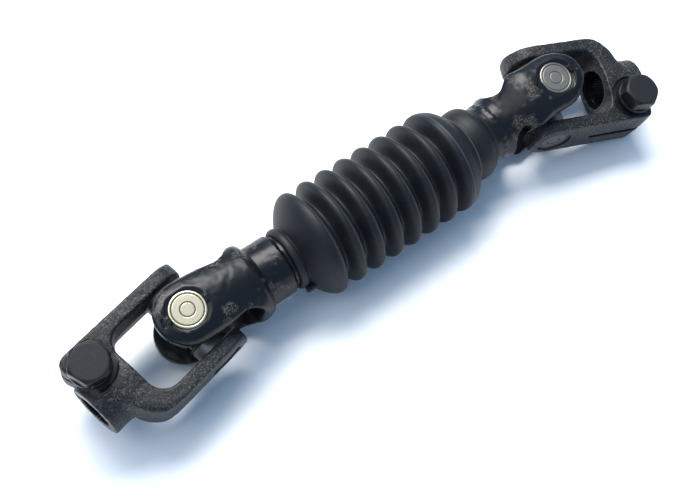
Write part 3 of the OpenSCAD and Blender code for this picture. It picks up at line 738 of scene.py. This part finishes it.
# ------------------------------------------------------------ geometry nodes
class Recipe:
    """A Geometry Nodes tree with named inputs and a plain way to add nodes."""

    def __init__(self, name, **inputs):
        self.tree = bpy.data.node_groups.new(name, "GeometryNodeTree")
        face = self.tree.interface
        face.new_socket("Geometry", in_out="INPUT", socket_type="NodeSocketGeometry")
        face.new_socket("Geometry", in_out="OUTPUT", socket_type="NodeSocketGeometry")
        self.keys = {}
        for key, value in inputs.items():
            kind = {int: "NodeSocketInt", float: "NodeSocketFloat"}.get(
                type(value), "NodeSocketMaterial")
            made = face.new_socket(key.replace("_", " "), in_out="INPUT", socket_type=kind)
            self.keys[key] = (made.identifier, value)
        self.source = self.tree.nodes.new("NodeGroupInput")
        self.sink = self.tree.nodes.new("NodeGroupOutput")

    def given(self, name):
        return Wire(self.tree, self.source.outputs[name.replace("_", " ")])

    def node(self, kind, settings=None, out=0, **inputs):
        return add_node(self.tree, kind, settings, out, inputs)

    def send(self, geometry, material):
        """Ends the tree: real geometry with its material set."""
        solid = self.node("GeometryNodeRealizeInstances", Geometry=geometry)
        done = self.node("GeometryNodeSetMaterial", Geometry=solid, Material=material)
        self.tree.links.new(done.socket, self.sink.inputs[0])

    def make(self, name, points, material, faces=(), **values):
        """Runs the tree on a few points and gives back a plain mesh piece."""
        base = bpy.data.meshes.new(name + "_base")
        base.from_pydata([tuple(map(float, p)) for p in points], [], list(faces))
        for key, numbers in values.items():
            if key not in self.keys:
                base.attributes.new(key, "FLOAT", "POINT").data.foreach_set(
                    "value", np.asarray(numbers, np.float32))
        holder = bpy.data.objects.new(name + "_base", base)
        bpy.context.scene.collection.objects.link(holder)
        live = holder.modifiers.new("recipe", "NODES")
        live.node_group = self.tree
        for key, (identifier, value) in self.keys.items():
            live[identifier] = material if key == "Material" else values.get(key, value)
        graph = bpy.context.evaluated_depsgraph_get()
        graph.update()
        mesh = bpy.data.meshes.new_from_object(holder.evaluated_get(graph))
        mesh.name = name
        mesh.calc_loop_triangles()
        # A negative volume means that the faces look inwards.
        if sum(a.dot(b.cross(c)) for a, b, c in (
                [mesh.vertices[v].co for v in t.vertices] for t in mesh.loop_triangles)) < 0:
            mesh.flip_normals()
        bpy.data.objects.remove(holder)
        bpy.data.meshes.remove(base)
        made = bpy.data.objects.new(name, mesh)
        bpy.context.scene.collection.objects.link(made)
        return made


def turned_recipe():
    """Turns a closed profile, given as points (x, radius), about the x axis.
    The profile's own number 'line' goes with it."""
    r = Recipe("turned about the shaft", Segments=128, Material=None)
    count = r.node("GeometryNodeAttributeDomainSize", Geometry=r.given("Geometry"))
    across = r.given("Segments") + 1
    sheet = r.node("GeometryNodeMeshGrid", Vertices_X=count + 1, Vertices_Y=across)
    index = r.node("GeometryNodeInputIndex")
    row = (index / across).math("FLOOR", index / across)
    column = index - row * across
    wrapped = row.math("MODULO", row, count)
    def picked(kind, value):
        return r.node("GeometryNodeSampleIndex", {"data_type": kind},
                      Geometry=r.given("Geometry"), Value=value, Index=wrapped)
    point = picked("FLOAT_VECTOR", r.node("GeometryNodeInputPosition"))
    split = r.tree.nodes.new("ShaderNodeSeparateXYZ")
    r.tree.links.new(point.socket, split.inputs[0])
    along, radius = Wire(r.tree, split.outputs[0]), Wire(r.tree, split.outputs[1])
    angle = column * (2 * math.pi) / r.given("Segments")
    spot = r.node("ShaderNodeCombineXYZ", X=along,
                  Y=radius * angle.math("COSINE", angle), Z=radius * angle.math("SINE", angle))
    moved = r.node("GeometryNodeSetPosition", Geometry=sheet, Position=spot)
    named = r.node("GeometryNodeInputNamedAttribute", {"data_type": "FLOAT"}, Name="line")
    kept = r.node("GeometryNodeStoreNamedAttribute", {"data_type": "FLOAT", "domain": "POINT"},
                  Geometry=moved, Name="line", Value=picked("FLOAT", named))
    closed = r.node("GeometryNodeMergeByDistance", Geometry=kept, Distance=1e-4)
    r.send(closed, r.given("Material"))
    return r


def circle_recipe():
    """Sets copies of the given mesh round the z axis."""
    r = Recipe("round the axis", Count=18, Radius=0.0, Material=None)
    line = r.node("GeometryNodeMeshLine", Count=r.given("Count"))
    index = r.node("GeometryNodeInputIndex")
    angle = index * (2 * math.pi) / r.given("Count")
    spot = r.node("ShaderNodeCombineXYZ",
                  X=angle.math("COSINE", angle) * r.given("Radius"),
                  Y=angle.math("SINE", angle) * r.given("Radius"))
    ring = r.node("GeometryNodeSetPosition", Geometry=line, Position=spot)
    facing = r.node("ShaderNodeCombineXYZ", Z=angle)
    copies = r.node("GeometryNodeInstanceOnPoints", Points=ring,
                    Instance=r.given("Geometry"), Rotation=facing)
    r.send(copies, r.given("Material"))
    return r


TURNED, CIRCLE = turned_recipe(), circle_recipe()


def place_mesh(made, where):
    """Puts a mesh made in millimetres where it belongs, in metres."""
    made.data.transform(Matrix.Scale(MM, 4) @ where)
    made.data.update()


def rod_mesh(radius, low, high, sides=20, edge=0.15):
    """A plain roller along z with broken edges."""
    return lathe([(0, low), (radius - edge, low), (radius, low + edge),
                  (radius, high - edge), (radius - edge, high), (0, high)], sides)


# ------------------------------------------------------------------ the boot
CREST_R, VALLEY_R, FOLDS, PITCH, FIRST_CREST, WALL = 25.3, 19.2, 8, 10.32, 64.8, 2.1
LAST_CREST = FIRST_CREST + (FOLDS - 1) * PITCH
LIP_START, LIP_L, COLLAR_X, COLLAR_L = 49.6, 4.0, 163.2, 14.0
FOLD_SHARP, LINE_HIGH = 2.6, 0.10
# From the last crest on, as (how far past it, radius): the last flank, a
# narrow valley, the collar and a thin foot.
TAIL = [
    (1.6, 25.3), (3.0, 24.9), (4.7, 24.2), (6.2, 23.3), (7.6, 22.0), (9.2, 20.1), (10.6, 18.4),
    (11.8, 17.3), (12.6, 17.0), (13.4, 17.2), (14.6, 17.7), (16.5, 18.1), (19.5, 18.1),
    (21.2, 17.6), (22.4, 16.8), (23.2, 15.9), (23.7, 15.2), (24.2, 14.9), (25.4, 14.7),
    (25.9, 14.3), (26.1, 13.95)]


def fold_radius(folds):
    """The boot's radius so many folds past its first crest. Crests are
    broad and valleys narrow."""
    dip = abs(math.sin(math.pi * folds)) ** FOLD_SHARP
    return VALLEY_R + (CREST_R - VALLEY_R) * (1 - dip)


def line_at(x, at, width, height=1.0):
    """A raised moulding line across the profile."""
    return height * math.exp(-((x - at) / width) ** 2)


def boot_profile():
    """Closed outline of the boot's rubber as (x, radius, share of moulding
    line at that point)."""
    lip_end, lip_r = LIP_START + LIP_L + 0.4, TUBE_R + 1.1
    out = []
    for i in range(13):
        t = math.radians(i * 15)
        out.append((LIP_START + LIP_L / 2 * (1 - math.cos(t)),
                    TUBE_R + 0.9 + 1.25 * math.sin(t), 0))
    out.append((lip_end, lip_r, 0))
    # The first flank rises to the first crest in a smooth swell.
    for i in range(1, 25):
        t = i / 24
        rise = math.sin(t * math.pi / 2)
        out.append((lip_end + t * (FIRST_CREST - lip_end), lip_r + (CREST_R - lip_r) * rise, 0))
    # The folds, each with two moulding lines past its crest.
    steps = 64
    for i in range(1, (FOLDS - 1) * steps + 1):
        phase = (i / steps) % 1.0
        ridge = line_at(phase, 0.13, 0.016) + line_at(phase, 0.27, 0.014, 0.8)
        out.append((FIRST_CREST + i * PITCH / steps, fold_radius(phase) + LINE_HIGH * ridge,
                    min(1.0, ridge)))
    # The tail in quarter steps, evened out twice.
    fine = []
    for (a, ra), (b, rb) in zip([(0, CREST_R)] + TAIL, TAIL):
        for k in range(1, 5):
            fine.append((LAST_CREST + a + (b - a) * k / 4, ra + (rb - ra) * k / 4))
    radii = [r for _, r in fine]
    for _ in range(2):
        inner = [(a + 2 * b + c) / 4 for a, b, c in zip(radii, radii[1:], radii[2:])]
        radii = [radii[0]] + inner + [radii[-1]]
    for (x, _), radius in zip(fine, radii):
        mark = line_at(x - LAST_CREST, 1.3, 0.18, 0.8) + line_at(x - LAST_CREST, 12.0, 0.25)
        out.append((x, radius + LINE_HIGH * mark, min(1.0, mark)))
    inside = [(COLLAR_X, NECK_R + 0.2, 0), (COLLAR_X - COLLAR_L, NECK_R + 0.2, 0)]
    for i in range((FOLDS - 1) * 12, -1, -1):
        inside.append((FIRST_CREST + i * PITCH / 12, fold_radius(i / 12) - WALL, 0))
    inside += [(LIP_START + LIP_L + 2, TUBE_R + 0.02, 0), (LIP_START, TUBE_R + 0.02, 0)]
    return out + inside


profile = boot_profile()
boot = TURNED.make("ribbed_boot", [(x, r, 0) for x, r, _ in profile], BOOT,
                   line=[m for _, _, m in profile], Segments=120)
place_mesh(boot, LAID)
boot.data.shade_smooth()
# The stub of the moulding gate points back along the shaft.
GATE_AT, GATE_R, GATE_L, GATE_EDGE = (57.5, -15.9, -2.0), 1.7, 6.2, 0.4
gate_points, gate_faces = lathe([
    (0, 0), (GATE_R, 0), (GATE_R, GATE_L - GATE_EDGE), (GATE_R - GATE_EDGE, GATE_L),
    (0, GATE_L)], 32)
gate = piece("boot_gate", gate_points, gate_faces, LAID @ shift(*GATE_AT) @ turn("Y", -90),
             BOOT, line=np.zeros(len(gate_points)))
stands_for(gate, "lower_shaft")


# -------------------------------------------------------------- the forgings
def toothed(points, quads, raw):
    """Cuts the serrations into the bore of the clamp yoke's mesh."""
    solid = piece("clamp_blank", points, quads, Matrix.Identity(4), PAINT, smooth=0, raw=raw)
    foot, tip = BORE_R - 0.5, BORE_R + TOOTH_DEPTH
    tooth = [(foot, -0.46), (tip, -0.06), (tip, 0.06), (foot, 0.46)]
    corners = [(x, y, z) for z in (WINDOW_REACH + 2, HUB_REACH + 1) for x, y in tooth]
    faces = [(3, 2, 1, 0), (4, 5, 6, 7), (0, 1, 5, 4), (1, 2, 6, 5), (2, 3, 7, 6), (3, 0, 4, 7)]
    cutter = CIRCLE.make("serration_cutter", corners, PAINT, faces=faces, Count=TEETH, Radius=0.0)
    cutter.data.transform(Matrix.Scale(MM, 4) @ turn("Y", 90))
    cut = solid.modifiers.new("serrations", "BOOLEAN")
    cut.operation, cut.solver, cut.object = "DIFFERENCE", "EXACT", cutter
    graph = bpy.context.evaluated_depsgraph_get()
    graph.update()
    mesh = bpy.data.meshes.new_from_object(solid.evaluated_get(graph))
    bpy.data.objects.remove(solid)
    bpy.data.objects.remove(cutter)
    return mesh


blank = toothed(*clamp_solid())
cross = spider_solid()
(bolt_points, bolt_quads, bolt_face), washer_mesh = bolt_solid(), washer_solid()
cup_points, cup_faces = lathe(cup_profile(), 120)
cup_ring = np.hypot(cup_points[:, 0], cup_points[:, 1])
cup_groove = (np.exp(-((cup_ring - GROOVES[0]) / 0.34) ** 2)
              + np.exp(-((cup_ring - GROOVES[1]) / 0.3) ** 2))
cup_groove *= cup_points[:, 2] > CUP_FACE - 0.55
seal_points, seal_faces = lathe(seal_profile(), 96)
ROLLERS, ROLLER_R, ROLLER_RING = 18, 0.975, 6.005
roller_points, roller_faces = rod_mesh(ROLLER_R, 12.9, 21.1)
# How each bolt's head came to stand, in degrees.
HEAD_TURN = {"lower": 12, "upper": 24}

for end in ENDS:
    mesh = blank.copy()
    mesh.transform(Matrix.Scale(MM, 4) @ CLAMP[end] @ Matrix.Scale(1 / MM, 4))
    yoke = bpy.data.objects.new(end + "_clamp_forging", mesh)
    bpy.context.scene.collection.objects.link(yoke)
    mesh.shade_smooth()
    mesh.set_sharp_from_angle(angle=math.radians(45))
    stands_for(yoke, end + "_clamp", end + "_clamp_yoke")

    points, quads, raw = fork_solid(end)
    stands_for(piece(end + "_fork_forging", points, quads, FORK[end], GLOSS, 0, raw=raw),
               end + "_shaft", end + "_shaft_yoke")

    points, quads, raw = cross
    stands_for(piece(end + "_cross", points, quads, SPIDER[end], GLOSS, 0, raw=raw),
               end + "_cross", end + "_spider")

    seat = CLAMP[end] @ shift(BOLT_AT, -BOLT_OFF, 0)
    stands_for(piece(end + "_hex_bolt", bolt_points, bolt_quads, seat @ turn("Z", HEAD_TURN[end]),
                     BOLT, 0, face=bolt_face),
               end + "_clamp", end + "_pinch_bolt")
    stands_for(piece(end + "_spring_washer", *washer_mesh, seat, BOLT, 0),
               end + "_clamp", end + "_lock_washer")

    for arm in ARM:
        where, body = cup_seat(end, arm), body_of_cup(end, arm)
        # Cups on the side arms take the darker copy, which is painted shade.
        stands_for(piece(f"{end}_bearing_cup_{arm}", cup_points, cup_faces, where,
                         CUPS[end if arm in ("top", "bottom") else "side"], 50,
                         ring=cup_ring, groove=cup_groove), body, f"{end}_cup_{arm}")
        stands_for(piece(f"{end}_dust_seal_{arm}", seal_points, seal_faces, where, SEAL, 40),
                   body, f"{end}_seal_{arm}")
        rollers = CIRCLE.make(f"{end}_rollers_{arm}", roller_points, STEEL, faces=roller_faces,
                              Count=ROLLERS, Radius=ROLLER_RING)
        place_mesh(rollers, where)
        rollers.data.shade_smooth()
        rollers.data.set_sharp_from_angle(angle=math.radians(40))
        stands_for(rollers, body, f"{end}_needles_{arm}")

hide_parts("boot")
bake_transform(boot)

for name, material in (("splined_tube", GLOSS), ("splined_shaft", STEEL)):
    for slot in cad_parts[name].material_slots:
        slot.material = material


# --------------------------------------------------- floor, light and camera
FLOOR_REACH = 2.5
floor_mesh = bpy.data.meshes.new("pale_floor")
floor_mesh.from_pydata([(FLOOR_REACH * x, FLOOR_REACH * y, 0)
                        for x, y in ((-1, -1), (1, -1), (1, 1), (-1, 1))], [], [(0, 1, 2, 3)])
floor_mesh.materials.append(floor_finish())
floor = bpy.data.objects.new("pale_floor", floor_mesh)
bpy.context.scene.collection.objects.link(floor)


def softbox(name, at, size, power, tint):
    """A lamp with a flat face that looks at the part."""
    light = bpy.data.lights.new(name, "AREA")
    light.shape, light.size, light.size_y = "RECTANGLE", size[0], size[1]
    light.energy, light.color = power, tint
    lamp = bpy.data.objects.new(name, light)
    bpy.context.scene.collection.objects.link(lamp)
    lamp.location = at
    lamp.rotation_mode = "QUATERNION"
    lamp.rotation_quaternion = (-Vector(at)).to_track_quat("-Z", "Y")


softbox("window_light", (0.16, 0.52, 1.0), size=(0.75, 0.6), power=19, tint=(1.0, 0.985, 0.96))
softbox("ceiling_light", (-0.75, 0.25, 1.3), size=(1.2, 1.2), power=8, tint=(1.0, 0.96, 0.90))
SKY_COLOUR, SKY_STRENGTH = (0.42, 0.66, 1.0, 1), 0.62
world = bpy.data.worlds.new("studio")
world.use_nodes = True
sky = world.node_tree.nodes["Background"].inputs
sky["Color"].default_value, sky["Strength"].default_value = SKY_COLOUR, SKY_STRENGTH
bpy.context.scene.world = world
bpy.context.scene.view_settings.view_transform = "Standard"

lens = bpy.data.cameras.new("photo_camera")
SENSOR_WIDTH = 36.0
lens.sensor_fit, lens.sensor_width = "HORIZONTAL", SENSOR_WIDTH
lens.lens = FOCAL_PIXELS * SENSOR_WIDTH / PHOTO_WIDTH
camera = bpy.data.objects.new("photo_camera", lens)
bpy.context.scene.collection.objects.link(camera)
right, down = Vector(CAMERA_RIGHT), Vector(CAMERA_DOWN)
pose = Matrix((right, -down, right.cross(-down))).transposed().to_4x4()
pose.translation = Vector(CAMERA_AT)
camera.matrix_world = LAID @ pose
camera.location = camera.location * MM
lens.clip_start, lens.clip_end = 0.01, 20
bpy.context.scene.camera = camera
